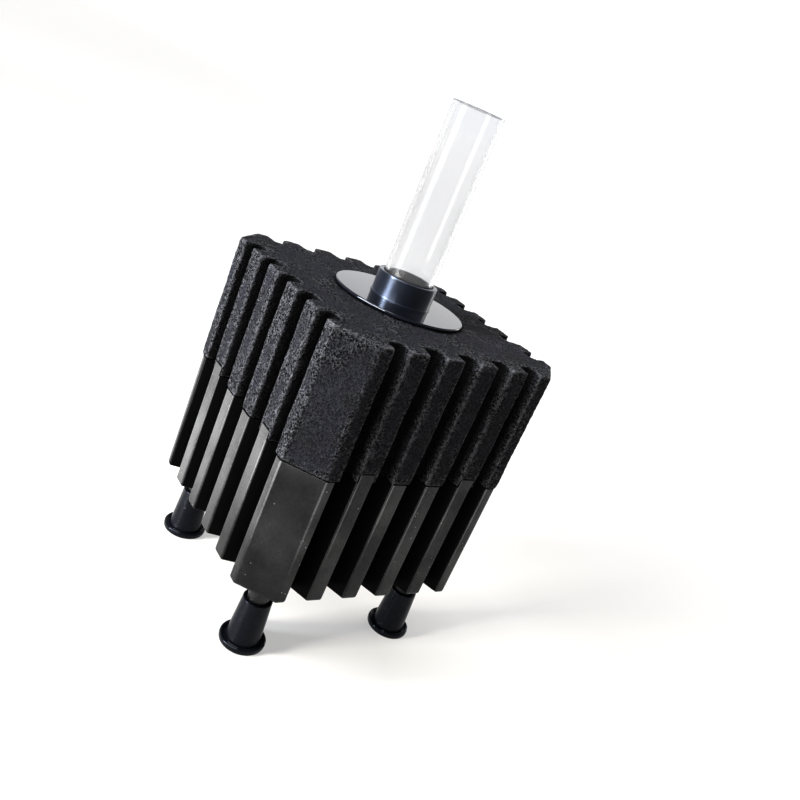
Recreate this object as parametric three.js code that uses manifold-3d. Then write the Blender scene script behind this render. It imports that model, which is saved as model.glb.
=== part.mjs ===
// Air-driven sponge filter for an aquarium. A ribbed foam block stands on a ribbed media box with four
// push-on legs. Bubbles from a diffuser in the perforated core lift the water up the clear riser tube.
// Millimetres, +Z up, origin on the floor at the centre of the four feet.
import * as THREE from "three";
import { mergeVertices } from "three/addons/utils/BufferGeometryUtils.js";
import Module from "manifold-3d";

const wasm = await Module();
wasm.setup();

// ---- Driving dimensions ----------------------------------------------------------------------------

const FOAM_SIDE = 130;
const BOX_SIDE = 129.2;
const RIBS_PER_SIDE = 4;
const RIB_PITCH = 19.7;
const GAP = 0.3; // between pieces that touch

// Heights above the floor.
const BOX_BOTTOM = 39.5;
const BOX_HEIGHT = 65;
const FOAM_TOP = 168;
const COLLAR_TOP = 181;
const RISER_TOP = 263;
const RISER_BOTTOM = 112;

// Media box.
const WALL = 2;
const FLOOR = 2.4;
const TAB_HEIGHT = 4.6;
const LID_THICKNESS = 2.4;
const LID_HALF = 52;
const LID_CORNER_CUT = 4;
const SOCKET_HEIGHT = 6;

// Legs and the bosses that they push onto.
const LEG_PLACE = 44.4;
const LEG_TOP = 25.6;
const LEG_TOP_RADIUS = 7.2;
const LEG_BOTTOM_RADIUS = 8.5;
const FOOT_RADIUS = 11.5;
const BOSS_RADIUS = 5.6;
const BOSS_BORE = 3.4;
const BOSS_BOTTOM = 12;
const BOSS_ROOT_RADIUS = 7; // of the collar where a boss meets the floor
const LEG_PLAY = 0.35; // between a leg and its boss, measured on the radius
const LEG_FLOOR = 3; // thickness of a leg's closed lower end
const FOOT_RECESS_RADIUS = 5.4;
const FOOT_RECESS_DEPTH = 1.2;

// Core, riser and top plate.
const CORE_RADIUS = 23;
const CORE_BORE = 21;
const PLATE_RADIUS = 33;
const PLATE_THICKNESS = 1.6;
const SKIRT_DEPTH = 8;
const COLLAR_RADIUS = 15;
const RISER_RADIUS = 12.5;
const RISER_BORE = 10.5;

// Air line inside the filter.
const NIPPLE_PLACE = 18.2; // from the axis, towards the back right corner
const NIPPLE_HOLE_RADIUS = 2.1;
const NIPPLE_BORE = 0.7;
const NIPPLE_STEM = 1.6;
const NIPPLE_BARB = 2.2;
const NIPPLE_FLANGE = 2.8;
const NIPPLE_SHANK = 1.8; // in the plate's hole
const NIPPLE_TAIL = 1; // in the pipe
const NIPPLE_BARBS = 2;
const NIPPLE_BARB_PITCH = 2.6;
const NIPPLE_DEPTH = 9.6;
const SHANK_DEPTH = 2; // below the plate
const PIPE_RADIUS = 2.3;
const PIPE_BORE = 1.3;
const DIFFUSER_RADIUS = 7;
const DIFFUSER_BOTTOM = 60;
const DIFFUSER_LENGTH = 20;
const PIPE_BEND = 10;
const PIPE_STEPS = 18;

// Slots in the floor, the lid and the core.
const SLOT_WIDTH = 3;
const SLOT_PITCH = 7;
const SLOT_ROWS = 6; // on each side of the middle row
const SLOT_REACH = 49;
const CORE_SLOT_HEIGHT = 18;
const CORE_SLOT_PITCH = 24;
const CORE_SLOT_ROWS = 2; // in the media box, and again in the foam
const CORE_SLOT_ANGLES = 4;

// Ceramic rings.
const RING_RADIUS = 8.5;
const RING_BORE = 4.5;
const RING_LENGTH = 20;
const RING_LAYERS = 2;

// Facets round a full turn.
const FINE = 36;
const MEDIUM = 24;
const ROUGH = 16;
const COARSE = 8;

// ---- Derived dimensions ----------------------------------------------------------------------------

const BOX_TOP = BOX_BOTTOM + BOX_HEIGHT;
const FLOOR_TOP = BOX_BOTTOM + FLOOR;
const LID_BOTTOM = BOX_TOP - LID_THICKNESS;
const FOAM_BOTTOM = BOX_TOP + GAP;
const PLATE_BOTTOM = FOAM_TOP + GAP;
const PLATE_TOP = PLATE_BOTTOM + PLATE_THICKNESS;
const SKIRT_INNER = CORE_RADIUS + 0.4;
const SKIRT_OUTER = SKIRT_INNER + 1.6;
const LEG_STEP = BOSS_BOTTOM - GAP; // the ledge in a leg that its boss stands on

// The ribbed outlines: tip and root are a rib's widths at the face and at the groove floor.
const BOX_PROFILE = { half: BOX_SIDE / 2, chamfer: 15, cornerTip: 45, tip: 7.8, root: 16.7, depth: 10.2 };
const FOAM_PROFILE = { half: FOAM_SIDE / 2, chamfer: 15, cornerTip: 43.2, tip: 10.8, root: 12, depth: 8.2 };

// ---- Solids ----------------------------------------------------------------------------------------

function solid(geometry) {
  const shape = geometry.clone();
  shape.deleteAttribute("normal");
  shape.deleteAttribute("uv");
  const merged = mergeVertices(shape);
  return new wasm.Manifold(
    new wasm.Mesh({
      numProp: 3,
      vertProperties: new Float32Array(merged.attributes.position.array),
      triVerts: new Uint32Array(merged.index.array),
    }),
  );
}

function geometryOf(made) {
  const mesh = made.getMesh();
  const geometry = new THREE.BufferGeometry();
  geometry.setAttribute("position", new THREE.BufferAttribute(mesh.vertProperties, 3));
  geometry.setIndex(new THREE.BufferAttribute(mesh.triVerts, 1));
  geometry.computeVertexNormals();
  return geometry;
}

// Turns a profile of [radius, height] points about the Z axis.
function revolved(profile, facets) {
  const points = profile.map(([radius, height]) => new THREE.Vector2(radius, height));
  return new THREE.LatheGeometry(points, facets).rotateX(Math.PI / 2);
}

// A ring between two radii and two heights.
function ring(inner, outer, bottom, top, facets) {
  const profile = [[inner, bottom], [outer, bottom], [outer, top], [inner, top], [inner, bottom]];
  return revolved(profile, facets);
}

function disc(radius, bottom, top, facets) {
  return revolved([[0, bottom], [radius, bottom], [radius, top], [0, top]], facets);
}

function prism(outline, bottom, top) {
  const options = { depth: top - bottom, bevelEnabled: false };
  return new THREE.ExtrudeGeometry(new THREE.Shape(outline), options).translate(0, 0, bottom);
}

function block(low, high) {
  const size = high.map((value, axis) => value - low[axis]);
  const middle = high.map((value, axis) => (value + low[axis]) / 2);
  return new THREE.BoxGeometry(...size).translate(...middle);
}

// ---- Ribbed outline --------------------------------------------------------------------------------

const ribMiddles = Array.from(
  { length: RIBS_PER_SIDE },
  (_, rib) => (rib - (RIBS_PER_SIDE - 1) / 2) * RIB_PITCH,
);

// A square whose sides carry ribs between two corner pieces, with its corners cut at 45 degrees.
function ribbedOutline({ half, chamfer, cornerTip, tip, root, depth }) {
  const flank = (root - tip) / 2;
  const side = [[-half + chamfer, 0], [-cornerTip, 0], [-cornerTip + flank, depth]];
  for (const middle of ribMiddles) {
    side.push([middle - root / 2, depth], [middle - tip / 2, 0]);
    side.push([middle + tip / 2, 0], [middle + root / 2, depth]);
  }
  side.push([cornerTip - flank, depth], [cornerTip, 0], [half - chamfer, 0]);

  const outline = [];
  for (let quarter = 0; quarter < 4; quarter++) {
    for (const [along, inset] of side) {
      const point = new THREE.Vector2(along, -half + inset);
      outline.push(point.rotateAround(new THREE.Vector2(), (quarter * Math.PI) / 2));
    }
  }
  return outline;
}

// The same outline moved inwards by the wall's thickness, measured square to each face.
function insetProfile({ half, chamfer, cornerTip, tip, root, depth }, wall) {
  const slope = (root - tip) / 2 / depth;
  const shift = wall * (Math.hypot(1, slope) - slope);
  return {
    half: half - wall,
    chamfer: chamfer - (2 - Math.SQRT2) * wall,
    cornerTip: cornerTip + shift,
    tip: tip - 2 * shift,
    root: root - 2 * shift,
    depth,
  };
}

// ---- Cutters ---------------------------------------------------------------------------------------

// Rows of slots through a plate, clear of the core tube in the middle and of the corner posts.
function plateSlots(bottom, top) {
  const coreClear = SKIRT_OUTER + 2;
  const postClear = LEG_PLACE - BOSS_RADIUS - SLOT_WIDTH;
  const slots = [];
  for (let row = -SLOT_ROWS; row <= SLOT_ROWS; row++) {
    const y = row * SLOT_PITCH;
    const outer = Math.abs(y) + SLOT_WIDTH > postClear ? postClear : SLOT_REACH;
    const inner = Math.abs(y) < coreClear ? Math.sqrt(coreClear ** 2 - y ** 2) + 1 : 2;
    for (const [from, to] of [[-outer, -inner], [inner, outer]]) {
      const low = [from, y - SLOT_WIDTH / 2, bottom - 1];
      const high = [to, y + SLOT_WIDTH / 2, top + 1];
      slots.push(solid(block(low, high)));
    }
  }
  return slots;
}

// Upright slots round the core, in rows that miss the lid's level.
function coreSlots() {
  const slots = [];
  const reach = CORE_RADIUS + 1;
  const clear = 3; // above the socket, and above the lid
  for (const first of [FLOOR_TOP + SOCKET_HEIGHT + clear, FOAM_BOTTOM + clear]) {
    for (let row = 0; row < CORE_SLOT_ROWS; row++) {
      const low = first + row * CORE_SLOT_PITCH;
      for (let turn = 0; turn < CORE_SLOT_ANGLES; turn++) {
        const from = [-reach, -SLOT_WIDTH / 2, low];
        const to = [reach, SLOT_WIDTH / 2, low + CORE_SLOT_HEIGHT];
        slots.push(solid(block(from, to).rotateZ((turn * Math.PI) / CORE_SLOT_ANGLES)));
      }
    }
  }
  return slots;
}

function cutAll(body, cutters) {
  return cutters.reduce((left, cutter) => left.subtract(cutter), body);
}

function joinAll(body, pieces) {
  return pieces.reduce((whole, piece) => whole.add(piece), body);
}

const corners = [
  ["front_left", -1, -1],
  ["front_right", 1, -1],
  ["back_left", -1, 1],
  ["back_right", 1, 1],
];

// ---- Pieces ----------------------------------------------------------------------------------------

// One moulded column: the leg's boss below the box, and above the floor the post that the lid rests on.
function bossAndPost(x, y) {
  const edge = 0.8;
  const boreTop = BOX_BOTTOM - 4;
  const rootBottom = BOX_BOTTOM - 3;
  const profile = [
    [0, boreTop],
    [BOSS_BORE, boreTop],
    [BOSS_BORE, BOSS_BOTTOM],
    [BOSS_RADIUS - edge, BOSS_BOTTOM],
    [BOSS_RADIUS, BOSS_BOTTOM + edge],
    [BOSS_RADIUS, rootBottom],
    [BOSS_ROOT_RADIUS, rootBottom + 1],
    [BOSS_ROOT_RADIUS, BOX_BOTTOM + 1],
    [BOSS_RADIUS, FLOOR_TOP],
    [BOSS_RADIUS, LID_BOTTOM - GAP],
    [0, LID_BOTTOM - GAP],
  ];
  return revolved(profile, ROUGH).translate(x, y, 0);
}

// The raised tongues on the outer two ribs of each side, which keep the foam from sliding off. The foam's
// notches for them are wider by play, and reach past its face by beyond.
function foamTabs(play, height, beyond) {
  const tabs = [];
  const outerFace = BOX_PROFILE.half + beyond;
  const halfWidth = BOX_PROFILE.tip / 2 + play;
  for (const middle of [ribMiddles[0], ribMiddles[RIBS_PER_SIDE - 1]]) {
    for (let quarter = 0; quarter < 4; quarter++) {
      const low = [middle - halfWidth, -outerFace, BOX_TOP - 1];
      const high = [middle + halfWidth, -BOX_PROFILE.half + WALL + play, BOX_TOP + height];
      tabs.push(solid(block(low, high).rotateZ((quarter * Math.PI) / 2)));
    }
  }
  return tabs;
}

function mediaBox() {
  const outer = solid(prism(ribbedOutline(BOX_PROFILE), BOX_BOTTOM, BOX_TOP));
  const inner = solid(prism(ribbedOutline(insetProfile(BOX_PROFILE, WALL)), FLOOR_TOP, BOX_TOP + 1));
  const columns = corners.map(([, x, y]) => solid(bossAndPost(x * LEG_PLACE, y * LEG_PLACE)));
  const socket = solid(ring(SKIRT_INNER, SKIRT_OUTER, FLOOR_TOP - 1, FLOOR_TOP + SOCKET_HEIGHT, MEDIUM));
  const shell = joinAll(outer.subtract(inner), [socket, ...columns, ...foamTabs(0, TAB_HEIGHT, 0)]);
  return geometryOf(cutAll(shell, plateSlots(BOX_BOTTOM, FLOOR_TOP)));
}

function mediaLid() {
  const cut = LID_HALF - LID_CORNER_CUT;
  const outline = [];
  for (const [x, y] of [[1, 1], [-1, 1], [-1, -1], [1, -1]]) {
    const ends = [new THREE.Vector2(x * LID_HALF, y * cut), new THREE.Vector2(x * cut, y * LID_HALF)];
    outline.push(...(x === y ? ends : ends.reverse()));
  }
  const plate = solid(prism(outline, LID_BOTTOM, BOX_TOP));
  const coreHole = solid(disc(SKIRT_INNER, LID_BOTTOM - 1, BOX_TOP + 1, MEDIUM));
  return geometryOf(cutAll(plate, [coreHole, ...plateSlots(LID_BOTTOM, BOX_TOP)]));
}

// The foam has a bore for the core, a wider seat for the top plate's skirt, and notches for the tabs.
function foamBlock() {
  const sponge = solid(prism(ribbedOutline(FOAM_PROFILE), FOAM_BOTTOM, FOAM_TOP));
  const bore = solid(disc(SKIRT_INNER, FOAM_BOTTOM - 1, FOAM_TOP + 1, MEDIUM));
  const seat = solid(disc(SKIRT_OUTER + GAP, PLATE_BOTTOM - SKIRT_DEPTH - 1, FOAM_TOP + 1, FINE));
  return geometryOf(cutAll(sponge, [bore, seat, ...foamTabs(GAP, TAB_HEIGHT + GAP, 1)]));
}

function coreTube() {
  const tube = solid(ring(CORE_BORE, CORE_RADIUS, FLOOR_TOP + GAP, PLATE_BOTTOM - GAP, MEDIUM));
  return geometryOf(cutAll(tube, coreSlots()));
}

// The thin round plate that holds the foam down, with a skirt that slips over the core's upper end.
function topPlate() {
  const hole = RISER_RADIUS + GAP;
  const skirtBottom = PLATE_BOTTOM - SKIRT_DEPTH;
  const edge = 0.4;
  const seat = COLLAR_RADIUS + GAP;
  const profile = [
    [hole, PLATE_BOTTOM],
    [SKIRT_INNER, PLATE_BOTTOM],
    [SKIRT_INNER, skirtBottom],
    [SKIRT_OUTER, skirtBottom],
    [SKIRT_OUTER, PLATE_BOTTOM],
    [PLATE_RADIUS - edge, PLATE_BOTTOM],
    [PLATE_RADIUS, PLATE_BOTTOM + edge],
    [PLATE_RADIUS, PLATE_TOP - edge],
    [PLATE_RADIUS - edge, PLATE_TOP],
    [seat, PLATE_TOP],
    [seat, PLATE_TOP - 2 * GAP],
    [hole, PLATE_TOP - 2 * GAP],
    [hole, PLATE_BOTTOM],
  ];
  const reach = NIPPLE_PLACE * Math.SQRT1_2;
  const nippleHole = disc(NIPPLE_HOLE_RADIUS, PLATE_BOTTOM - 1, PLATE_TOP + 1, COARSE);
  nippleHole.translate(reach, reach, 0);
  return geometryOf(solid(revolved(profile, FINE)).subtract(solid(nippleHole)));
}

function riserCollar() {
  const bore = RISER_RADIUS + GAP;
  const bottom = PLATE_TOP - GAP;
  const edge = 0.5;
  const profile = [
    [bore, bottom],
    [COLLAR_RADIUS, bottom],
    [COLLAR_RADIUS, COLLAR_TOP - edge],
    [COLLAR_RADIUS - edge, COLLAR_TOP],
    [bore + edge, COLLAR_TOP],
    [bore, COLLAR_TOP - edge],
    [bore, bottom],
  ];
  return revolved(profile, FINE);
}

function riserTube() {
  return ring(RISER_BORE, RISER_RADIUS, RISER_BOTTOM, RISER_TOP, FINE);
}

// Barbed inlet for the air hose. Its shank passes the plate and holds the pipe that hangs below.
function airNipple() {
  const base = PLATE_TOP + GAP;
  const shankBottom = PLATE_BOTTOM - SHANK_DEPTH;
  const barbsBottom = base + 2.2;
  const barbRise = 0.4;
  const profile = [
    [NIPPLE_BORE, base - NIPPLE_DEPTH],
    [NIPPLE_TAIL, base - NIPPLE_DEPTH],
    [NIPPLE_TAIL, shankBottom],
    [NIPPLE_SHANK, shankBottom],
    [NIPPLE_SHANK, base],
    [NIPPLE_FLANGE, base],
    [NIPPLE_FLANGE, base + 1],
    [NIPPLE_STEM, base + 1],
    [NIPPLE_STEM, barbsBottom],
  ];
  for (let barb = 0; barb < NIPPLE_BARBS; barb++) {
    const bottom = barbsBottom + barb * NIPPLE_BARB_PITCH;
    profile.push([NIPPLE_BARB, bottom + barbRise], [NIPPLE_STEM, bottom + NIPPLE_BARB_PITCH]);
  }
  const top = barbsBottom + NIPPLE_BARBS * NIPPLE_BARB_PITCH;
  profile.push([NIPPLE_BORE, top], [NIPPLE_BORE, base - NIPPLE_DEPTH]);
  return revolved(profile, COARSE);
}

// Hangs from the nipple beside the riser, then bends in to the diffuser's side.
function airPipe() {
  const level = DIFFUSER_BOTTOM + DIFFUSER_LENGTH / 2;
  const at = (radius, height) => new THREE.Vector3(radius * Math.SQRT1_2, radius * Math.SQRT1_2, height);
  const top = at(NIPPLE_PLACE, PLATE_BOTTOM - SHANK_DEPTH - GAP);
  const bendStart = at(NIPPLE_PLACE, level + PIPE_BEND);
  const bendCorner = at(NIPPLE_PLACE, level);
  const end = at(DIFFUSER_RADIUS + 2 * GAP, level);
  const path = new THREE.CurvePath();
  path.add(new THREE.LineCurve3(top, bendStart));
  path.add(new THREE.QuadraticBezierCurve3(bendStart, bendCorner, end));
  const section = new THREE.Shape().absarc(0, 0, PIPE_RADIUS, 0, 2 * Math.PI, false);
  section.holes.push(new THREE.Path().absarc(0, 0, PIPE_BORE, 0, 2 * Math.PI, true));
  const options = { steps: PIPE_STEPS, curveSegments: COARSE / 2, extrudePath: path };
  return new THREE.ExtrudeGeometry(section, options);
}

function airDiffuser() {
  const top = DIFFUSER_BOTTOM + DIFFUSER_LENGTH;
  const edge = 1;
  const profile = [
    [0, DIFFUSER_BOTTOM],
    [DIFFUSER_RADIUS - edge, DIFFUSER_BOTTOM],
    [DIFFUSER_RADIUS, DIFFUSER_BOTTOM + edge],
    [DIFFUSER_RADIUS, top - edge],
    [DIFFUSER_RADIUS - edge, top],
    [0, top],
  ];
  return revolved(profile, MEDIUM);
}

// A tapered hollow leg with a round foot whose rim stands up as a lip. The boss stands on its ledge.
function leg() {
  const bore = BOSS_RADIUS + LEG_PLAY;
  const ledge = bore - 2;
  const edge = 0.9;
  const recessEdge = FOOT_RECESS_RADIUS + FOOT_RECESS_DEPTH;
  const lip = [
    [FOOT_RADIUS, edge],
    [FOOT_RADIUS, 2.4],
    [FOOT_RADIUS - 0.5, 3],
    [FOOT_RADIUS - 1.2, 3],
    [FOOT_RADIUS - 1.9, 2.2],
  ];
  const profile = [
    [0, FOOT_RECESS_DEPTH],
    [FOOT_RECESS_RADIUS, FOOT_RECESS_DEPTH],
    [recessEdge, 0],
    [FOOT_RADIUS - edge, 0],
    ...lip,
    [LEG_BOTTOM_RADIUS + 0.5, 2.6],
    [LEG_BOTTOM_RADIUS, 4],
    [LEG_TOP_RADIUS, LEG_TOP - 0.4],
    [LEG_TOP_RADIUS - 0.4, LEG_TOP],
    [bore, LEG_TOP],
    [bore, LEG_STEP],
    [ledge, LEG_STEP],
    [ledge, LEG_FLOOR],
    [0, LEG_FLOOR],
  ];
  return revolved(profile, ROUGH);
}

// Places of one layer of rings: a row along each wall, and one ring inside each corner of that square.
function ringPlaces() {
  const fromWall = 0.5;
  const between = 1.5;
  const wallRow = BOX_PROFILE.half - BOX_PROFILE.depth - WALL - RING_RADIUS - fromWall;
  const pitch = 2 * RING_RADIUS + between;
  const innerCorner = 3 * RING_RADIUS;
  const places = [];
  for (let quarter = 0; quarter < 4; quarter++) {
    const turn = (quarter * Math.PI) / 2;
    const row = [-1.5, -0.5, 0.5, 1.5].map((step) => new THREE.Vector2(step * pitch, -wallRow));
    row.push(new THREE.Vector2(-innerCorner, -innerCorner));
    places.push(...row.map((spot) => spot.rotateAround(new THREE.Vector2(), turn)));
  }
  return places;
}

// ---- Assembly --------------------------------------------------------------------------------------

const filter = new THREE.Group();

function place(name, geometry, color, roughness, metalness = 0) {
  const mesh = new THREE.Mesh(geometry, new THREE.MeshStandardMaterial({ color, roughness, metalness }));
  mesh.name = name;
  filter.add(mesh);
  return mesh;
}

place("media_box", mediaBox(), 0x1b1b1c, 0.35);
place("media_lid", mediaLid(), 0x1b1b1c, 0.4);
place("foam_block", foamBlock(), 0x1e1e20, 0.95);
place("core_tube", coreTube(), 0x1b1b1c, 0.4);
place("top_plate", topPlate(), 0x0c0c0e, 0.08);
place("riser_collar", riserCollar(), 0x0c0c0e, 0.1);
place("riser_tube", riserTube(), 0xeef2f4, 0.03);
place("air_pipe", airPipe(), 0x202022, 0.4);
place("air_diffuser", airDiffuser(), 0x8d8f92, 0.95);

const nippleOffset = NIPPLE_PLACE * Math.SQRT1_2;
place("air_nipple", airNipple(), 0x0c0c0e, 0.2).position.set(nippleOffset, nippleOffset, 0);

for (const [corner, x, y] of corners) {
  place("leg_" + corner, leg(), 0x0d0d0f, 0.15).position.set(x * LEG_PLACE, y * LEG_PLACE, 0);
}

const ringSpots = ringPlaces();
for (let layer = 0; layer < RING_LAYERS; layer++) {
  const bottom = FLOOR_TOP + GAP + layer * (RING_LENGTH + GAP);
  ringSpots.forEach((spot, index) => {
    const number = String(layer * ringSpots.length + index + 1).padStart(2, "0");
    const shape = ring(RING_BORE, RING_RADIUS, 0, RING_LENGTH, COARSE);
    place("ceramic_ring_" + number, shape, 0xd8d2c4, 0.9).position.set(spot.x, spot.y, bottom);
  });
}

export default filter;
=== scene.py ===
"""Looks of the sponge filter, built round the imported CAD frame. Metres, +Z up, standing on Z = 0."""

import math

import bmesh
import bpy
import numpy as np
from mathutils import Matrix, Vector, noise


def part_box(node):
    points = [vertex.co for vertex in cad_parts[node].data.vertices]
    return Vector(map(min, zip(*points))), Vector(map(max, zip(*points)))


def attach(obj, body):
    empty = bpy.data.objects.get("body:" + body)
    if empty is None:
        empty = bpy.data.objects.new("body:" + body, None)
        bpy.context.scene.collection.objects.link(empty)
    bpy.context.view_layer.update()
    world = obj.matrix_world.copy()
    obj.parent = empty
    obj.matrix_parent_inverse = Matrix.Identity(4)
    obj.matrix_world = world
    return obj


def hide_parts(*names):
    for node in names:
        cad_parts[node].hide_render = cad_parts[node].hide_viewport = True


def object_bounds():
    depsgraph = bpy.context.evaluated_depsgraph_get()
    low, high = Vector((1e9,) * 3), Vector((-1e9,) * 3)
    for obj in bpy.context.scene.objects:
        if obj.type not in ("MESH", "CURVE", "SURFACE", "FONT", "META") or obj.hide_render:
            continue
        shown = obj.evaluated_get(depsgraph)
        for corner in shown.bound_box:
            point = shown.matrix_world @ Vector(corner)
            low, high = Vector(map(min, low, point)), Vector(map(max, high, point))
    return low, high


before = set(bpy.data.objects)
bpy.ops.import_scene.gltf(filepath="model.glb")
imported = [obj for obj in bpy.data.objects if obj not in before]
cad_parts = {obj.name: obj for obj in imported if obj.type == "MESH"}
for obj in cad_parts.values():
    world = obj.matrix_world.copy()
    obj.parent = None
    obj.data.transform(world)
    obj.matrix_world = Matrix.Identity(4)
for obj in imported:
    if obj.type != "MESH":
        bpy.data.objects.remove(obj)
cad_low, cad_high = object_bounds()

MM = 0.001

# ---- Camera and stage -------------------------------------------------------------------------------

CAMERA_AZIMUTH = -41.4  # degrees, 0 looks along +Y
CAMERA_ELEVATION = 19.27
CAMERA_ROLL = 23.7  # the view is tilted, so the filter leans to the right
CAMERA_DISTANCE = 0.395
LENS = 35.2
AIM_SHARE = Vector((0.113, -0.101, 0.465))  # of the object's width, depth and height

FLOOR_RADIUS = 60
FLOOR_GLOW = 0.80  # light that a lit studio floor gives off by itself, so that shadows stay pale
NEAR_DIP = 0.05  # less of it round the object, where the soft boxes light the floor
NEAR_REACH = 1.2
# Places on the floor that glow more or less: place, reach along X and Y, glow added there. The bright ones
# are
# painted light, which the upright faces and edges mirror as painted reflections. The dim ones are painted
# shade:
# near the filter they stand in for its shadows, far off they darken what the tube shows.
FLOOR_SPOTS = (
    ((-0.06, -0.05), (0.20, 0.17), -0.26),  # painted shade round and under the front legs, which also offsets the low lamp's light there
    ((0.36, -0.03), (0.40, 0.17), -0.12),  # painted shadow that deepens the wide shadow at the right
    ((-0.14, 0.21), (0.15, 0.22), 2.9),  # seen in the outer faces at the left
    ((-0.28, 0.00), (0.12, 0.15), 16.0),  # seen in their edges
    ((-0.03, -0.27), (0.11, 0.13), 7.0),  # seen in the edges at the right
    ((-1.20, 1.60), (1.00, 1.40), -0.3),  # seen in the tube's left side
    ((0.00, 1.10), (0.70, 1.00), -0.07),  # seen in its left edge
    ((0.20, 5.00), (3.00, 4.50), -0.07),  # the same, farther off
    ((1.80, -0.80), (1.40, 0.80), -0.3),  # seen in its right side
)
SPOT_FADE = ((0.0, 0.0), (0.2, 0.2), (0.55, 1.0))  # (how far in from a place's rim, share of its glow)

# Upright soft boxes: name, azimuth from +X, distance, width, lower and upper edge, power, colour.
KEY_BOX = ("key", 169, 1.0, 0.16, 0.0, 1.3, 37.0, (0.88, 0.95, 1.06))
LOW_BOX = ("low", 183, 1.0, 0.20, 0.05, 0.18, 110.0, (1.0, 0.99, 0.96))
RIM_BOX = ("rim", 10, 1.0, 0.2, 0.0, 0.6, 2.0, (1.0, 1.0, 0.97))
COLLAR_BOX = ("collar_streak", 169, 1.0, 0.16, 0.8, 1.4, 270.0, (0.88, 0.95, 1.06))
DISC_BOX = ("disc_rim_line", 195, 1.0, 0.8, 0.0, 0.6, 70.0, (0.9, 0.95, 1.05))
TUBE_BOXES = (
    ("tube_band_left", 169, 1.0, 0.50, 0.0, 1.3, 5.0, (1.0, 1.0, 1.0)),
    ("tube_band_right", 278, 1.2, 0.36, 0.0, 0.8, 3.2, (1.0, 1.0, 1.0)),
)
TOP_LAMP = ("top", 192, 60, 40, 5.7, (1.0, 1.0, 1.0))  # azimuth, elevation and size in degrees, strength
SKY_STRENGTH = 1.95
SKY_BLUE = 1.01  # against its red and green
SKY_STOPS = ((0.06, 0.55), (0.14, 1.0), (0.34, 1.0), (0.50, 0.33), (1.0, 0.33))  # (sine of height, share)
SKY_SIDES = ((0.25, 1.0), (0.5, 0.78), (0.9, 0.15))  # (towards the camera, share)
SKY_FOOT = ((0.0, 0.5), (0.03, 0.5), (0.15, 0.0))  # (sine of height, share), the least on every side
DISPLAY_GAMMA = 0.76


def make_camera():
    size = cad_high - cad_low
    aim = Vector(share * side for share, side in zip(AIM_SHARE, size))
    azimuth = math.radians(CAMERA_AZIMUTH)
    elevation = math.radians(CAMERA_ELEVATION)
    back = Vector((
        math.sin(azimuth) * math.cos(elevation),
        -math.cos(azimuth) * math.cos(elevation),
        math.sin(elevation),
    ))
    camera = bpy.data.objects.new("camera", bpy.data.cameras.new("camera"))
    camera.data.lens = LENS
    camera.data.clip_start = 0.01
    turn = (-back).to_track_quat("-Z", "Y").to_matrix().to_4x4()
    roll = Matrix.Rotation(math.radians(CAMERA_ROLL), 4, "Z")
    camera.matrix_world = Matrix.Translation(aim + back * CAMERA_DISTANCE) @ turn @ roll
    bpy.context.scene.collection.objects.link(camera)
    bpy.context.scene.camera = camera


def sun_lamp(name, azimuth, elevation, spread, strength, colour):
    lamp = bpy.data.lights.new(name, "SUN")
    lamp.energy = strength
    lamp.angle = math.radians(spread)
    lamp.color = colour
    turn = math.radians(azimuth)
    rise = math.radians(elevation)
    towards = Vector((
        math.cos(turn) * math.cos(rise),
        math.sin(turn) * math.cos(rise),
        math.sin(rise),
    ))
    light = bpy.data.objects.new(name, lamp)
    light.rotation_euler = towards.to_track_quat("Z", "Y").to_euler()
    bpy.context.scene.collection.objects.link(light)
    return light


def aim_light(light, state, *objects):
    """Keeps a light to the given objects (INCLUDE), or off them (EXCLUDE)."""
    group = bpy.data.collections.new(light.name + "_objects")
    light.light_linking.receiver_collection = group
    for one in objects:
        group.objects.link(one)
    for member in group.collection_objects:
        member.light_linking.link_state = state


def soft_box(name, azimuth, distance, width, bottom, top, power, colour):
    """An upright lamp that faces the object."""
    lamp = bpy.data.lights.new(name, "AREA")
    lamp.shape = "RECTANGLE"
    lamp.size = width
    lamp.size_y = top - bottom
    lamp.energy = power
    lamp.color = colour
    turn = math.radians(azimuth)
    outward = Vector((math.cos(turn), math.sin(turn), 0))
    middle = outward * distance + Vector((0, 0, (bottom + top) / 2))
    light = bpy.data.objects.new(name, lamp)
    light.matrix_world = Matrix.Translation(middle) @ outward.to_track_quat("Z", "Y").to_matrix().to_4x4()
    light.visible_transmission = False
    bpy.context.scene.collection.objects.link(light)
    return light


def make_floor():
    bpy.ops.mesh.primitive_circle_add(vertices=96, radius=FLOOR_RADIUS, fill_type="NGON")
    floor = bpy.context.object
    floor.name = "floor"
    floor.data.materials.append(floor_material())
    return floor


def light_studio(floor, disc, collar, tube):
    """Soft boxes at the sides, a top light and a pale sky. The top light leaves the floor out, so that the
    filter throws one shadow. A low lamp draws the legs' shadows on the floor. The disc, the collar and the
    clear tube get soft boxes of their own."""
    aim_light(sun_lamp(*TOP_LAMP), "EXCLUDE", floor)
    aim_light(soft_box(*KEY_BOX), "EXCLUDE", collar, tube)
    soft_box(*RIM_BOX)
    aim_light(soft_box(*LOW_BOX), "INCLUDE", floor)
    aim_light(soft_box(*DISC_BOX), "INCLUDE", disc)
    aim_light(soft_box(*COLLAR_BOX), "INCLUDE", collar)
    for box in TUBE_BOXES:
        aim_light(soft_box(*box), "INCLUDE", tube)
    bpy.context.scene.world = sky()
    bpy.context.scene.view_settings.view_transform = "Standard"
    bpy.context.scene.view_settings.gamma = DISPLAY_GAMMA


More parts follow.
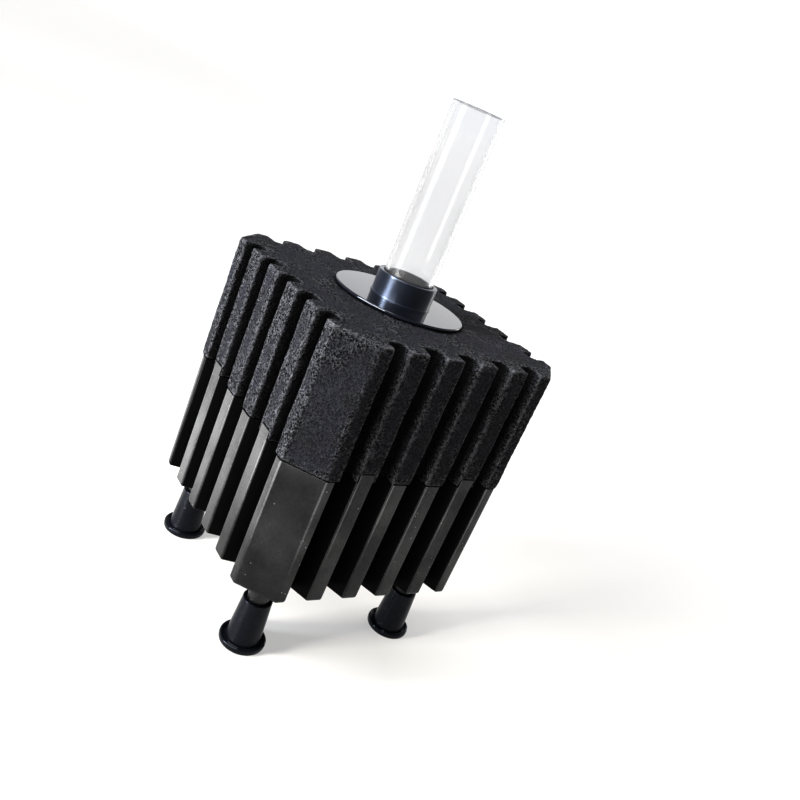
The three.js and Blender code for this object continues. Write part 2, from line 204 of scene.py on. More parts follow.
def sky():
    """White near the horizon and darker on the camera's side, dim above, like a room round a light tent.
    A pale foot all round joins it to the floor."""
    world = bpy.data.worlds.new("studio")
    world.use_nodes = True
    tree = world.node_tree
    direction = tree.nodes.new("ShaderNodeTexCoord").outputs["Generated"]
    split = tree.nodes.new("ShaderNodeSeparateXYZ")
    tree.links.new(direction, split.inputs["Vector"])
    towards_camera = tree.nodes.new("ShaderNodeVectorMath")
    towards_camera.operation = "DOT_PRODUCT"
    azimuth = math.radians(CAMERA_AZIMUTH)
    towards_camera.inputs[1].default_value = (math.sin(azimuth), -math.cos(azimuth), 0)
    tree.links.new(direction, towards_camera.inputs[0])
    by_height = sky_ramp(tree, split.outputs["Z"], SKY_STOPS)
    half_turn = tree.nodes.new("ShaderNodeMapRange")
    half_turn.inputs["From Min"].default_value = -1
    tree.links.new(towards_camera.outputs["Value"], half_turn.inputs["Value"])
    by_side = sky_ramp(tree, half_turn.outputs["Result"], SKY_SIDES)
    both = tree.nodes.new("ShaderNodeVectorMath")
    both.operation = "MULTIPLY"
    tree.links.new(by_height, both.inputs[0])
    tree.links.new(by_side, both.inputs[1])
    least = tree.nodes.new("ShaderNodeVectorMath")
    least.operation = "MAXIMUM"
    tree.links.new(both.outputs["Vector"], least.inputs[0])
    tree.links.new(sky_ramp(tree, split.outputs["Z"], SKY_FOOT), least.inputs[1])
    background = tree.nodes["Background"]
    background.inputs["Strength"].default_value = SKY_STRENGTH
    tree.links.new(least.outputs["Vector"], background.inputs["Color"])
    return world


def sky_ramp(tree, source, stops):
    ramp = tree.nodes.new("ShaderNodeValToRGB")
    points = ramp.color_ramp.elements
    while len(points) < len(stops):
        points.new(0.5)
    for point, (position, share) in zip(points, stops):
        point.position = position
        point.color = (share, share, share * SKY_BLUE, 1)
    tree.links.new(source, ramp.inputs["Fac"])
    return ramp.outputs["Color"]


# ---- Material helpers -------------------------------------------------------------------------------

FLECK_CORE = 0.6  # of a fleck's radius, inside which it is solid


class Nodes:
    """A material's node tree, with short calls for adding and joining nodes."""

    def __init__(self, name):
        self.material = bpy.data.materials.new(name)
        self.material.use_nodes = True
        self.tree = self.material.node_tree
        self.shader = self.tree.nodes["Principled BSDF"]
        self.place = self.tree.nodes.new("ShaderNodeTexCoord").outputs["Object"]

    def set(self, **values):
        for name, value in values.items():
            self.shader.inputs[name.replace("_", " ")].default_value = value

    def link(self, source, target):
        self.tree.links.new(source, target)

    def node(self, kind, **options):
        made = self.tree.nodes.new("ShaderNode" + kind)
        for name, value in options.items():
            setattr(made, name, value)
        return made

    def noise(self, scale, detail=3.0, rough=0.5, stretch=None):
        made = self.node("TexNoise")
        made.inputs["Scale"].default_value = scale
        made.inputs["Detail"].default_value = detail
        made.inputs["Roughness"].default_value = rough
        self.link(self.stretched(stretch), made.inputs["Vector"])
        return made.outputs["Fac"]

    def cells(self, scale):
        """Each point's distance from the middle of its cell, and a chance colour for each cell."""
        made = self.node("TexVoronoi", feature="F1")
        made.inputs["Scale"].default_value = scale
        self.link(self.place, made.inputs["Vector"])
        return made.outputs["Distance"], made.outputs["Color"]

    def spot(self, place, reach):
        """1 at a place on the floor, fading to 0 at the given reach along X and Y."""
        mapping = self.node("Mapping", vector_type="TEXTURE")
        mapping.inputs["Location"].default_value = (*place, 0)
        mapping.inputs["Scale"].default_value = (*reach, 1)
        self.link(self.place, mapping.inputs["Vector"])
        made = self.node("TexGradient", gradient_type="SPHERICAL")
        self.link(mapping.outputs["Vector"], made.inputs["Vector"])
        return self.ramp(made.outputs["Fac"], *SPOT_FADE)

    def flecks(self, spacing, size, share):
        """1 on small round flecks that lie in the given share of cells of the given spacing."""
        distance, chance = self.cells(1 / spacing)
        edge = size / spacing
        near = self.ramp(distance, (edge * FLECK_CORE, 1.0), (edge, 0.0))
        chosen = self.ramp(chance, (1 - share - 0.01, 0.0), (1 - share, 1.0))
        return self.math("MULTIPLY", near, chosen)

    def stretched(self, stretch):
        if stretch is None:
            return self.place
        mapping = self.node("Mapping")
        mapping.inputs["Scale"].default_value = stretch
        self.link(self.place, mapping.inputs["Vector"])
        return mapping.outputs["Vector"]

    def ramp(self, source, *stops):
        """Colour ramp of (position, colour) stops; a colour may be one grey value."""
        made = self.node("ValToRGB")
        points = made.color_ramp.elements
        while len(points) < len(stops):
            points.new(0.5)
        for point, (position, colour) in zip(points, stops):
            point.position = position
            point.color = (*colour, 1) if isinstance(colour, tuple) else (colour,) * 3 + (1,)
        self.link(source, made.inputs["Fac"])
        return made.outputs["Color"]

    def math(self, operation, a, b):
        made = self.node("Math", operation=operation)
        for socket, value in zip(made.inputs, (a, b)):
            if isinstance(value, (int, float)):
                socket.default_value = value
            else:
                self.link(value, socket)
        return made.outputs["Value"]

    def mix(self, factor, a, b):
        made = self.node("Mix", data_type="RGBA")
        for name, value in (("Factor", factor), ("A", a), ("B", b)):
            sockets = [s for s in made.inputs if s.name == name and s.enabled]
            if isinstance(value, bpy.types.NodeSocket):
                self.link(value, sockets[0])
            else:
                sockets[0].default_value = value
        return [s for s in made.outputs if s.enabled][0]

    def bump(self, height, distance, strength):
        made = self.node("Bump")
        made.inputs["Strength"].default_value = strength
        made.inputs["Distance"].default_value = distance
        self.link(height, made.inputs["Height"])
        self.link(made.outputs["Normal"], self.shader.inputs["Normal"])


# ---- Materials --------------------------------------------------------------------------------------

RIM_BAND = 0.5 * MM
EDGE_ROUGHER = 0.35  # foam near its edges
SHADED_SIDE_SMOOTHER = 0.12  # foam on the side that faces -Y
SHADED_SIDE_HIDES = 0.7  # of the pale specks, which are painted glints, hidden on the side that faces -Y
SHADED_SIDE_SHADE = 0.42  # painted shade: how much darker the side that faces -Y is
BLACK = (0.0, 0.0, 0.0, 1)
# black of the foam's pores, also used for painted shade in its grooves
PORE_AND_SHADE_BLACK = (0.001, 0.001, 0.001, 1)
GROOVE_SHADE_BLACK = (0.003, 0.003, 0.003, 1)
WEAR_AND_GLINT_GREY = (0.150, 0.148, 0.156, 1)
DUST = (0.2, 0.2, 0.19, 1)
COOL_DUST = (0.15, 0.15, 0.16, 1)


def floor_material():
    """Plain white floor. It glows a little all over, more in patches of painted light that the filter
    mirrors, and less where painted shade stands in for its shadows or darkens what the tube shows.
    """
    nodes = Nodes("studio_floor")
    nodes.set(Roughness=0.6, Specular_IOR_Level=0.1)
    grain = nodes.noise(6, detail=2)
    tone = nodes.ramp(grain, (0.3, (0.250, 0.240, 0.224)), (0.7, (0.256, 0.246, 0.230)))
    nodes.link(tone, nodes.shader.inputs["Base Color"])
    dip = nodes.math("MULTIPLY", nodes.spot((0, 0), (NEAR_REACH, NEAR_REACH)), NEAR_DIP)
    glow = nodes.math("SUBTRACT", FLOOR_GLOW, dip)
    for place, reach, strength in FLOOR_SPOTS:
        glow = nodes.math("ADD", glow, nodes.math("MULTIPLY", nodes.spot(place, reach), strength))
    nodes.set(Emission_Color=(1.0, 1.0, 1.0, 1))
    nodes.link(glow, nodes.shader.inputs["Emission Strength"])
    return nodes.material


def foam_material():
    """Open-cell foam: black pits and pale specks, which are painted glints, where it is rough, near edges
    most, with smoother patches. Its edges are pale with wear and painted highlight. The side that faces -Y
    is smoother and darker with painted shade, and the grooves and the disc's rim get painted shade."""
    nodes = Nodes("black_foam")
    nodes.set(Roughness=0.95, Specular_IOR_Level=0.08)
    grain = nodes.noise(1700, detail=2, rough=0.6)
    pits = nodes.ramp(nodes.cells(750)[0], (0.22, 0.0), (0.55, 1.0))
    near_edge = nodes.node("Attribute", attribute_name="near_edge").outputs["Fac"]
    shaded_side = nodes.node("Attribute", attribute_name="shaded_side").outputs["Fac"]
    patches = nodes.math("ADD", nodes.noise(60, detail=3), nodes.math("MULTIPLY", near_edge, EDGE_ROUGHER))
    patches = nodes.math("SUBTRACT", patches, nodes.math("MULTIPLY", shaded_side, SHADED_SIDE_SMOOTHER))
    rough_share = nodes.ramp(patches, (0.48, 0.3), (0.62, 1.0))
    tints = nodes.noise(90, detail=2)
    smooth = nodes.ramp(tints, (0.35, (0.016, 0.016, 0.017)), (0.65, (0.019, 0.0185, 0.025)))
    struts = nodes.ramp(grain, (0.40, (0.003, 0.003, 0.003)), (0.61, (0.086, 0.085, 0.091)))
    porous = nodes.mix(pits, PORE_AND_SHADE_BLACK, struts)
    # pale specks in the colour, most near edges, are painted glints
    glints = nodes.ramp(nodes.noise(1100, detail=1), (0.63, 0.0), (0.72, 1.0))
    specks = nodes.math("MULTIPLY", glints, nodes.ramp(near_edge, (0.05, 0.25), (0.5, 1.0)))
    unshaded_share = nodes.math("SUBTRACT", 1, nodes.math("MULTIPLY", shaded_side, SHADED_SIDE_HIDES))
    specks = nodes.math("MULTIPLY", specks, unshaded_share)
    surface = nodes.mix(rough_share, smooth, porous)
    # pale edges: partly wear, partly painted highlight
    wear_and_highlight = nodes.node("Attribute", attribute_name="wear_and_highlight").outputs["Fac"]
    wear_and_painted_light = nodes.math("MULTIPLY", wear_and_highlight, nodes.ramp(nodes.noise(300, detail=3), (0.35, 0.15), (0.65, 1.0)))
    pale = nodes.math("MAXIMUM", wear_and_painted_light, specks)
    lit = nodes.mix(pale, surface, WEAR_AND_GLINT_GREY)
    # painted shade darkens the side that faces -Y
    lit = nodes.mix(nodes.math("MULTIPLY", shaded_side, SHADED_SIDE_SHADE), lit, BLACK)
    # painted shade: the grooves and a ring round the disc's rim are darkened to black
    deep = nodes.node("Attribute", attribute_name="deep").outputs["Fac"]
    nodes.link(nodes.mix(deep, lit, PORE_AND_SHADE_BLACK), nodes.shader.inputs["Base Color"])
    height = nodes.math("ADD", nodes.math("MULTIPLY", pits, rough_share), grain)
    nodes.bump(height, 1 * MM, 1.0)
    return nodes.material


def satin_material():
    """Satin moulded plastic of the media box, with faint flow streaks, a fine grain and a little dust.
    The insides of the grooves get painted shade: black colour and no shine."""
    nodes = Nodes("satin_black_plastic")
    nodes.set(IOR=1.45)
    streaks = nodes.noise(120, detail=3, stretch=(1, 1, 0.06))
    clouds = nodes.noise(45, detail=4)
    grain = nodes.noise(700, detail=2)
    dust = nodes.flecks(4 * MM, 0.35 * MM, 0.35)
    groove = nodes.node("Attribute", attribute_name="groove").outputs["Fac"]
    tone = nodes.ramp(clouds, (0.35, (0.003, 0.003, 0.0035)), (0.65, (0.006, 0.006, 0.0062)))
    outer = nodes.mix(dust, tone, DUST)
    # painted shade: the grooves are black and lose their shine
    nodes.link(nodes.mix(groove, outer, GROOVE_SHADE_BLACK), nodes.shader.inputs["Base Color"])
    shine = nodes.math("ADD", clouds, nodes.math("MULTIPLY", grain, 0.35))
    shine = nodes.math("MULTIPLY", nodes.math("SUBTRACT", shine, 0.22), nodes.math("SUBTRACT", 1, groove))
    nodes.link(nodes.math("ADD", shine, 0.03), nodes.shader.inputs["Specular IOR Level"])
    rough = nodes.math("ADD", nodes.math("MULTIPLY", streaks, 0.10), nodes.math("MULTIPLY", clouds, 0.14))
    nodes.link(nodes.math("ADD", rough, 0.14), nodes.shader.inputs["Roughness"])
    nodes.bump(nodes.noise(1500, detail=2), 0.02 * MM, 0.5)
    return nodes.material


def inner_material():
    nodes = Nodes("inner_black_plastic")
    clouds = nodes.noise(60, detail=3)
    nodes.link(nodes.ramp(clouds, (0.3, 0.012), (0.7, 0.022)), nodes.shader.inputs["Base Color"])
    rough = nodes.math("ADD", nodes.math("MULTIPLY", clouds, 0.2), 0.35)
    nodes.link(rough, nodes.shader.inputs["Roughness"])
    nodes.bump(nodes.noise(1800, detail=2), 0.02 * MM, 0.4)
    return nodes.material


def gloss_material(name, roughness, shine, tint=(1, 1, 1), drawn=0.0):
    """Polished black plastic with faint handling marks and a few specks of dust. Drawn plastic has fine
    lines round it, which spread its lights up and down."""
    nodes = Nodes(name)
    nodes.set(IOR=1.5, Specular_IOR_Level=shine, Specular_Tint=(*tint, 1))
    nodes.set(Anisotropic=drawn, Anisotropic_Rotation=0.25)
    marks = nodes.noise(90, detail=5, rough=0.7)
    tone = nodes.ramp(marks, (0.3, (0.003, 0.0035, 0.005)), (0.7, (0.006, 0.0065, 0.009)))
    dust = nodes.flecks(5 * MM, 0.3 * MM, 0.3)
    nodes.link(nodes.mix(dust, tone, COOL_DUST), nodes.shader.inputs["Base Color"])
    smear = nodes.math("ADD", nodes.math("MULTIPLY", marks, roughness), roughness * 0.6)
    nodes.link(smear, nodes.shader.inputs["Roughness"])
    nodes.bump(nodes.noise(300, detail=2), 0.01 * MM, 0.4)
    return nodes.material


def clear_material():
    """Clear acrylic with faint draw lines along the tube, darker in a thin band at its upper rim."""
    nodes = Nodes("clear_acrylic")
    nodes.set(Transmission_Weight=0.97, IOR=1.49, Specular_IOR_Level=0.8)
    split = nodes.node("SeparateXYZ")
    nodes.link(nodes.place, split.inputs["Vector"])
    # darker towards the upper rim
    above = nodes.math("SUBTRACT", split.outputs["Z"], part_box("riser_tube")[1].z - RIM_BAND)
    rim_band_share = nodes.ramp(nodes.math("DIVIDE", above, RIM_BAND), (0.0, 0.0), (0.3, 1.0))
    tint = nodes.mix(rim_band_share, (0.915, 0.918, 0.925, 1), (0.35, 0.36, 0.38, 1))
    nodes.link(tint, nodes.shader.inputs["Base Color"])
    lines = nodes.noise(220, detail=2, stretch=(1, 1, 0.01))
    nodes.link(nodes.ramp(lines, (0.3, 0.05), (0.8, 0.08)), nodes.shader.inputs["Roughness"])
    return nodes.material


def ceramic_material():
    nodes = Nodes("fired_ceramic")
    nodes.set(Roughness=0.9)
    pores = nodes.cells(1500)[0]
    tone = nodes.noise(200, detail=4)
    body = nodes.ramp(tone, (0.3, (0.62, 0.55, 0.44)), (0.7, (0.76, 0.70, 0.60)))
    in_pores = nodes.ramp(pores, (0.1, 0.7), (0.35, 0.0))
    nodes.link(nodes.mix(in_pores, body, (0.33, 0.27, 0.20, 1)), nodes.shader.inputs["Base Color"])
    nodes.bump(pores, 0.2 * MM, 0.6)
    return nodes.material


def stone_material():
    nodes = Nodes("sintered_stone")
    nodes.set(Roughness=0.95)
    grains = nodes.cells(2600)[0]
    tone = nodes.ramp(grains, (0.1, (0.14, 0.15, 0.17)), (0.6, (0.42, 0.44, 0.47)))
    nodes.link(tone, nodes.shader.inputs["Base Color"])
    nodes.bump(grains, 0.3 * MM, 0.8)
    return nodes.material


# ---- Mesh helpers -----------------------------------------------------------------------------------

ON_AXIS = 1e-9
NO_ROUNDING = 1e-7
ROUNDING_LIMIT = 0.45  # of the shorter side beside a corner


def new_piece(name, mesh, material, node, body, sharp=35):
    """Puts a finished mesh in the scene in place of a CAD node. Flat faces beside rounded edges stay flat,
    unless the sharp angle is 180 degrees, which shades the whole piece as one soft surface."""
    piece = bpy.data.objects.new(name, mesh)
    bpy.context.scene.collection.objects.link(piece)
    mesh.shade_smooth()
    if sharp < 180:
        mesh.set_sharp_from_angle(angle=math.radians(sharp))
        shading = piece.modifiers.new("shading", "WEIGHTED_NORMAL")
        shading.keep_sharp = True
        mesh = applied_mesh(piece)
        piece = bpy.data.objects.new(name, mesh)
        bpy.context.scene.collection.objects.link(piece)
    mesh.materials.clear()
    mesh.materials.append(material)
    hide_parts(node)
    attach(piece, body)
    return piece


def copy_of_node(node, name):
    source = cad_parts[node]
    piece = bpy.data.objects.new(name, source.data.copy())
    bpy.context.scene.collection.objects.link(piece)
    return piece


def applied_mesh(piece):
    """The piece's mesh with its modifiers applied. The piece itself is removed."""
    bpy.context.view_layer.update()
    graph = bpy.context.evaluated_depsgraph_get()
    mesh = bpy.data.meshes.new_from_object(piece.evaluated_get(graph))
    mesh.name = piece.name
    bpy.data.objects.remove(piece)
    return mesh


def rounded(profile, radius, steps=4):
    """Rounds the corners of a profile of (r, z) or (r, z, corner radius) points. It closes on itself."""
    points = [Vector(p[:2]) for p in profile]
    radii = [p[2] if len(p) > 2 else radius for p in profile]
    result = []
    for i, here in enumerate(points):
        before = points[i - 1] - here
        after = points[(i + 1) % len(points)] - here
        reach = min(radii[i], before.length * ROUNDING_LIMIT, after.length * ROUNDING_LIMIT)
        if reach < NO_ROUNDING or here.x < ON_AXIS:
            result.append(here)
            continue
        start = here + before.normalized() * reach
        end = here + after.normalized() * reach
        for step in range(steps + 1):
            t = step / steps
            result.append((1 - t) ** 2 * start + 2 * t * (1 - t) * here + t * t * end)
    return result


def revolved(name, profile, centre, steps):
    """Closed mesh from a closed (r, z) profile, turned in equal steps about an upright axis at centre."""
    made = bmesh.new()
    rings = []
    for point in profile:
        if point.x < ON_AXIS:
            rings.append([made.verts.new((centre[0], centre[1], point.y))])
            continue
        ring = []
        for step in range(steps):
            angle = 2 * math.pi * step / steps
            place = (centre[0] + point.x * math.cos(angle), centre[1] + point.x * math.sin(angle), point.y)
            ring.append(made.verts.new(place))
        rings.append(ring)
    for lower, upper in zip(rings, rings[1:] + rings[:1]):
        for step in range(steps):
            following = (step + 1) % steps
            corners = [
                lower[step % len(lower)],
                lower[following % len(lower)],
                upper[following % len(upper)],
                upper[step % len(upper)],
            ]
            corners = list(dict.fromkeys(corners))
            if len(corners) > 2:
                made.faces.new(corners)
    bmesh.ops.recalc_face_normals(made, faces=made.faces)
    mesh = bpy.data.meshes.new(name)
    made.to_mesh(mesh)
    made.free()
    return mesh


# ---- Foam block -------------------------------------------------------------------------------------

CHAMFER = 15 * MM  # of the four corners of the foam and the media box
GROOVE_STARTS = 0.7 * MM  # behind the ribs' outer faces

FOAM_VOXEL = 0.8 * MM
FOAM_ROUNDING_PASSES = 16
WEAR_AND_HIGHLIGHT_REACH = 4  # neighbours across
WEAR_AND_HIGHLIGHT_HEIGHT = 0.25 * MM
WEAR_AND_HIGHLIGHT_STARTS = 0.35  # of that height
EDGE_REACH = 18
EDGE_HEIGHT = 0.6 * MM
SHADED_SIDE_STARTS = 0.3  # how far a normal points to -Y where that side's painted shade begins
KNIFE_WAVE = 0.25 * MM
KNIFE_WAVES = 60  # per metre
PORE_DEPTH = 0.45 * MM
PORES = 420  # per metre
PORE_EDGE = 0.45  # of the pores' spacing
CRUMB = 0.22 * MM
CRUMBS = 480  # per metre
GROOVE_FADE = 5 * MM
GROOVE_CURVE = 1.5  # above 1, a groove darkens slowly at first
WALL_CONTRAST = 2.4  # how fast the darkening sets in on steeper faces
DISC_SHADE = 1.4 * MM
SHADE_HEIGHT = 2 * MM  # the disc's shade reaches this far down
DEEPEST = 0.9


def foam_block(material):
    """The foam's CAD solid with soft edges, an uneven cut surface and open pores."""
    piece = copy_of_node("foam_block", "foam_sponge")
    remesh = piece.modifiers.new("cells", "REMESH")
    remesh.mode = "VOXEL"
    remesh.voxel_size = FOAM_VOXEL
    smooth = piece.modifiers.new("soft_edges", "SMOOTH")
    smooth.factor = 0.5
    smooth.iterations = FOAM_ROUNDING_PASSES
    mesh = applied_mesh(piece)
    mark_wear_highlight_and_shade(mesh)
    mark_depth(mesh)
    roughen(mesh)
    sponge = new_piece("foam_sponge", mesh, material, "foam_block", "foam", sharp=180)


def mark_wear_highlight_and_shade(mesh):
    """Stores how far each point stands out from those close by, where the foam is rubbed pale by wear and
    painted with a highlight, and from those farther off, where it is rough. The side that faces -Y is marked
    for painted shade."""
    places, normals = points_of(mesh)
    edges = np.empty(len(mesh.edges) * 2, np.int64)
    mesh.edges.foreach_get("vertices", edges)
    edges = edges.reshape(-1, 2)
    around = places
    for reach in range(EDGE_REACH):
        around = average_of_neighbours(around, edges)
        height = ((places - around) * normals).sum(1)
        if reach + 1 == WEAR_AND_HIGHLIGHT_REACH:
            store(mesh, "wear_and_highlight", height / WEAR_AND_HIGHLIGHT_HEIGHT - WEAR_AND_HIGHLIGHT_STARTS)
    store(mesh, "near_edge", height / EDGE_HEIGHT)
    store(mesh, "shaded_side", (-normals[:, 1] - SHADED_SIDE_STARTS) / (1 - SHADED_SIDE_STARTS))


def mark_depth(mesh):
    """Stores how deep each point lies in a groove or under the disc's rim, where little light gets in."""
    places, normals = points_of(mesh)
    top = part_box("foam_block")[1]
    x, y, z = np.abs(places).T
    behind_side = top.x - np.maximum(x, y)
    behind_chamfer = (2 * top.x - CHAMFER - x - y) / math.sqrt(2)
    depth = np.minimum(behind_side, behind_chamfer)
    upright = np.clip(WALL_CONTRAST * (1 - np.abs(normals[:, 2])), 0, 1)
    in_groove = np.clip(depth / GROOVE_FADE, 0, 1) ** GROOVE_CURVE * upright
    under_disc = np.clip((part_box("top_plate")[1].x + DISC_SHADE - np.hypot(x, y)) / DISC_SHADE, 0, 1)
    near_top = z > top.z - SHADE_HEIGHT
    store(mesh, "deep", DEEPEST * np.maximum(in_groove, under_disc * near_top))


def points_of(mesh):
    places = np.empty(len(mesh.vertices) * 3)
    normals = np.empty(len(mesh.vertices) * 3)
    mesh.vertices.foreach_get("co", places)
    mesh.vertex_normals.foreach_get("vector", normals)
    return places.reshape(-1, 3), normals.reshape(-1, 3)


def average_of_neighbours(values, edges):
    first, second = edges.T
    ends = np.concatenate((first, second))
    others = np.concatenate((second, first))
    count = len(values)
    degree = np.bincount(ends, minlength=count)
    sums = [np.bincount(ends, values[others, axis], count) for axis in range(3)]
    return np.stack(sums, 1) / degree[:, None]


def store(mesh, name, values):
    attribute = mesh.attributes.new(name, "FLOAT", "POINT")
    attribute.data.foreach_set("value", np.clip(values, 0, 1).astype(np.float32))


def roughen(mesh):
    """Moves each point along its normal: slow waves from the knife, and pits where pores lie open."""
    places, normals = points_of(mesh)
    offsets = np.empty(len(places))
    for index, place in enumerate(places):
        point = Vector(place)
        wave = noise.noise(point * KNIFE_WAVES)
        pore = noise.voronoi(point * PORES)[0][0]
        crumb = noise.noise(point * CRUMBS)
        offsets[index] = KNIFE_WAVE * wave + CRUMB * crumb - PORE_DEPTH * max(0.0, PORE_EDGE - pore)
    moved = places + normals * offsets[:, None]
    mesh.vertices.foreach_set("co", moved.astype(np.float32).ravel())
    mesh.update()


# ---- Media box --------------------------------------------------------------------------------------

BOTTOM_EDGE = 1.6 * MM
CORNER_EDGE = 0.9 * MM
WORN_CORNER_EDGE = 3.2 * MM  # the corner at the back left
RIB_EDGE = 0.8 * MM
RIM_EDGE = 0.3 * MM
ROUNDED_ABOVE = math.radians(30)
SHORTEST_RIB = 10 * MM
SAME_PLACE = 0.01 * MM
WALL_STARTS = 0.95  # of the half width
BOTTOM_EDGES_START = 0.78  # of the half width
BACK_CORNER_SHADE_REACH = 6 * MM  # past the cut corner
BACK_CORNER_SHADE = 0.85  # painted shade at the corner at the back left, against that in the grooves


def media_box(material):
    """The moulded shell with rounded edges."""
    piece = copy_of_node("media_box", "media_box_shell")
    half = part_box("media_box")[1].x
    places = [point.co for point in piece.data.vertices]
    bottom = min(place.z for place in places if max(abs(place.x), abs(place.y)) > half * WALL_STARTS)
    clean = bmesh.new()
    clean.from_mesh(piece.data)
    bmesh.ops.remove_doubles(clean, verts=clean.verts, dist=SAME_PLACE)
    bmesh.ops.dissolve_limit(clean, angle_limit=math.radians(1), verts=clean.verts, edges=clean.edges)
    weights = clean.edges.layers.float.new("bevel_weight_edge")
    for edge in clean.edges:
        if len(edge.link_faces) == 2 and edge.calc_face_angle() > ROUNDED_ABOVE:
            edge[weights] = edge_radius(edge, half, bottom) / WORN_CORNER_EDGE
    clean.to_mesh(piece.data)
    clean.free()
    bevel = piece.modifiers.new("edges", "BEVEL")
    bevel.width = WORN_CORNER_EDGE
    bevel.segments = 4
    bevel.limit_method = "WEIGHT"
    bevel.use_clamp_overlap = False
    mesh = applied_mesh(piece)
    mark_grooves(mesh, half, bottom)
    new_piece("media_box_shell", mesh, material, "media_box", "base")


def edge_radius(edge, half, bottom):
    """Largest up the rounder corner at the back left and along the bottom of the walls, smallest at the
    rims.
    """
    first, second = (point.co for point in edge.verts)
    outermost = min(max(abs(place.x), abs(place.y)) for place in (first, second))
    innermost = min(min(abs(place.x), abs(place.y)) for place in (first, second))
    if max(first.z, second.z) < bottom + SAME_PLACE and outermost > half * BOTTOM_EDGES_START:
        return BOTTOM_EDGE
    if abs(first.z - second.z) < SHORTEST_RIB:
        return RIM_EDGE
    if outermost > half - SAME_PLACE and innermost > half - CHAMFER - SAME_PLACE:
        return WORN_CORNER_EDGE if first.x < 0 < first.y else CORNER_EDGE
    return RIB_EDGE


def mark_grooves(mesh, half, bottom):
    """Stores which faces lie behind the ribs' outer faces, which get painted shade. The bosses below the
    floor do not count. The corner at the back left gets nearly as much painted shade."""
    inside = []
    for face in mesh.polygons:
        x = abs(face.center.x)
        y = abs(face.center.y)
        behind_chamfer = (2 * half - CHAMFER - x - y) / math.sqrt(2)
        behind = min(half - max(x, y), behind_chamfer) > GROOVE_STARTS
        # painted shade also at the corner at the back left
        wear_and_painted_light = face.center.x < WORN_CORNER_EDGE - half and face.center.y > half - CHAMFER - BACK_CORNER_SHADE_REACH
        inside.append(BACK_CORNER_SHADE if wear_and_painted_light else float(behind and face.center.z > bottom))
    groove = mesh.attributes.new("groove", "FLOAT", "FACE")
    groove.data.foreach_set("value", inside)


# ---- Round pieces -----------------------------------------------------------------------------------

TUBE_WALL = 2 * MM
COLLAR_BORE = 12.8 * MM
RING_BORE_SHARE = 0.53


def middle_of(node):
    low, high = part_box(node)
    return ((low.x + high.x) / 2, (low.y + high.y) / 2)


def leg(node, material):
    """A tapered tube on a round foot with a raised lip. A boss of the media box stands in its socket."""
    low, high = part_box(node)
    foot = (high.x - low.x) / 2
    top = high.z
    top_radius = 7.2 * MM
    bottom_radius = 8.5 * MM
    socket = top_radius - 1.25 * MM
    ledge = 11.7 * MM
    cavity = 3.95 * MM
    cavity_floor = 3 * MM
    hollow = 1.2 * MM  # below the foot
    profile = [
        (0, hollow), (5.4 * MM, hollow), (6.6 * MM, 0),
        (foot - 0.4 * MM, 0, 0.4 * MM), (foot, 1 * MM, 1 * MM), (foot, 2.8 * MM, 0.9 * MM),
        (foot - 1.1 * MM, 3.2 * MM, 0.9 * MM), (foot - 1.7 * MM, 2 * MM, 0.8 * MM),
        (bottom_radius + 0.6 * MM, 2.2 * MM, 1.2 * MM), (bottom_radius, 5 * MM, 2 * MM),
        (top_radius, top, 0.55 * MM), (socket, top, 0.35 * MM), (socket, ledge),
        (cavity, ledge), (cavity, cavity_floor), (0, cavity_floor),
    ]
    mesh = revolved(node + "_tube", rounded(profile, 0.15 * MM), middle_of(node), steps=80)
    new_piece(node + "_tube", mesh, material, node, node)


def top_plate(material):
    low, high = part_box("top_plate")
    radius = (high.x - low.x) / 2
    top = high.z
    thickness = 1.6 * MM
    hole = COLLAR_BORE
    skirt_inner = 23.4 * MM
    skirt_outer = 25 * MM
    seat = 15.3 * MM
    profile = [
        (hole, top - thickness), (skirt_inner, top - thickness), (skirt_inner, low.z), (skirt_outer, low.z),
        (skirt_outer, top - thickness), (radius, top - thickness, 0.7 * MM), (radius, top, 0.8 * MM),
        (seat, top), (seat, top - 0.6 * MM), (hole, top - 0.6 * MM),
    ]
    mesh = revolved("top_plate_disc", rounded(profile, 0.12 * MM), (0, 0), steps=160)
    return new_piece("top_plate_disc", mesh, material, "top_plate", "top")


def riser_collar(material):
    low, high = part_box("riser_collar")
    radius = (high.x - low.x) / 2
    bore = COLLAR_BORE
    lip = 0.3 * MM
    profile = [
        (bore, low.z), (radius + lip, low.z), (radius + lip, low.z + 3 * lip), (radius, low.z + 3.3 * lip),
        (radius, high.z, 0.4 * MM), (bore, high.z, 0.4 * MM),
    ]
    mesh = revolved("riser_collar_ring", rounded(profile, 0.1 * MM), (0, 0), steps=128)
    return new_piece("riser_collar_ring", mesh, material, "riser_collar", "top")


def riser_tube(material):
    low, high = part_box("riser_tube")
    outer = (high.x - low.x) / 2
    bore = outer - TUBE_WALL
    profile = [(bore, low.z), (outer, low.z), (outer, high.z), (bore, high.z)]
    mesh = revolved("riser_clear_tube", rounded(profile, 0.2 * MM, 2), (0, 0), steps=480)
    return new_piece("riser_clear_tube", mesh, material, "riser_tube", "riser")


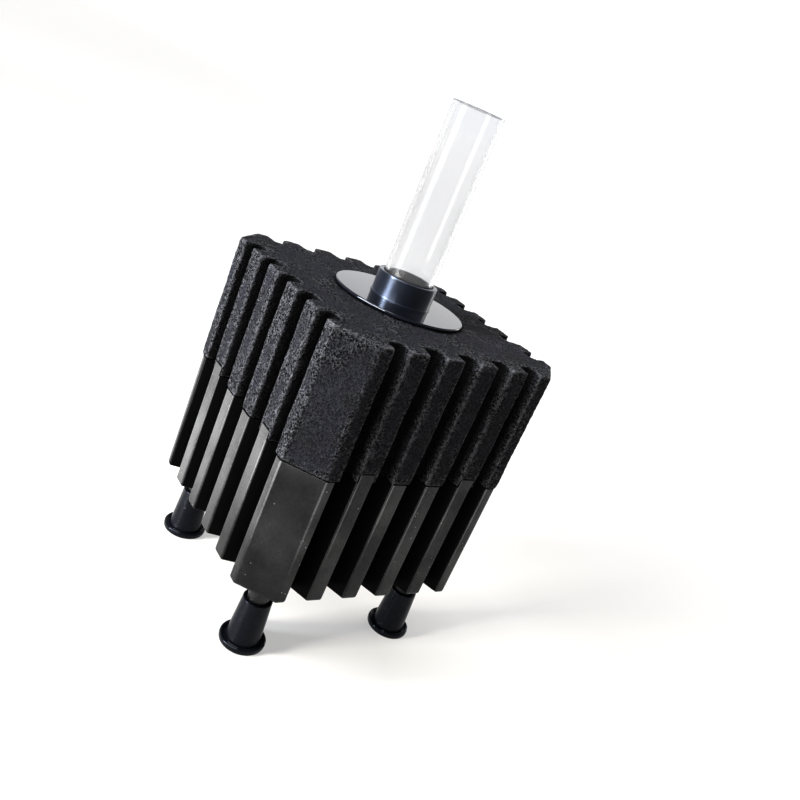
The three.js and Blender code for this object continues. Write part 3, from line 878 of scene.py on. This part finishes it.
def ceramic_rings(material):
    nodes = sorted(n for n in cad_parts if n.startswith("ceramic_ring"))
    for node in nodes:
        low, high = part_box(node)
        outer = (high.y - low.y) / 2
        bore = outer * RING_BORE_SHARE
        profile = [(bore, low.z), (outer, low.z), (outer, high.z), (bore, high.z)]
        name = node.replace("ceramic_ring", "porous_ring")
        mesh = revolved(name, rounded(profile, 0.6 * MM, 2), middle_of(node), steps=32)
        new_piece(name, mesh, material, node, "base")


def air_diffuser(material):
    low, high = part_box("air_diffuser")
    outer = (high.x - low.x) / 2
    profile = [(0, low.z), (outer, low.z, 1 * MM), (outer, high.z, 1 * MM), (0, high.z)]
    mesh = revolved("diffuser_stone", rounded(profile, 0), (0, 0), steps=48)
    new_piece("diffuser_stone", mesh, material, "air_diffuser", "top")


def air_nipple(material):
    low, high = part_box("air_nipple")
    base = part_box("top_plate")[1].z + 0.3 * MM
    profile = [
        (0.7 * MM, low.z), (1 * MM, low.z), (1 * MM, base - 3.9 * MM), (1.8 * MM, base - 3.9 * MM),
        (1.8 * MM, base), (2.8 * MM, base), (2.8 * MM, base + 1 * MM), (1.6 * MM, base + 1 * MM),
        (1.6 * MM, base + 2.2 * MM), (2.2 * MM, base + 2.6 * MM), (1.6 * MM, base + 4.8 * MM),
        (2.2 * MM, base + 5.2 * MM), (1.6 * MM, high.z), (0.7 * MM, high.z),
    ]
    mesh = revolved("air_inlet_nipple", rounded(profile, 0.15 * MM, 2), middle_of("air_nipple"), steps=40)
    new_piece("air_inlet_nipple", mesh, material, "air_nipple", "top")


# ---- Assembly ---------------------------------------------------------------------------------------

make_camera()

gloss = gloss_material("gloss_black_plastic", 0.05, 0.28)
collar_gloss = gloss_material("collar_black_plastic", 0.32, 0.5, (0.85, 0.95, 1.15), drawn=0.9)
leg_gloss = gloss_material("leg_black_plastic", 0.14, 0.18, (0.92, 0.96, 1.08), drawn=0.9)
inner = inner_material()

foam_block(foam_material())
media_box(satin_material())
disc = top_plate(gloss)
collar = riser_collar(collar_gloss)
tube = riser_tube(clear_material())
for corner in ("front_left", "front_right", "back_left", "back_right"):
    leg("leg_" + corner, leg_gloss)
ceramic_rings(ceramic_material())
air_diffuser(stone_material())
air_nipple(gloss)
for plain in ("media_lid", "core_tube", "air_pipe"):
    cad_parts[plain].data.materials.clear()
    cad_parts[plain].data.materials.append(inner)
light_studio(make_floor(), disc, collar, tube)
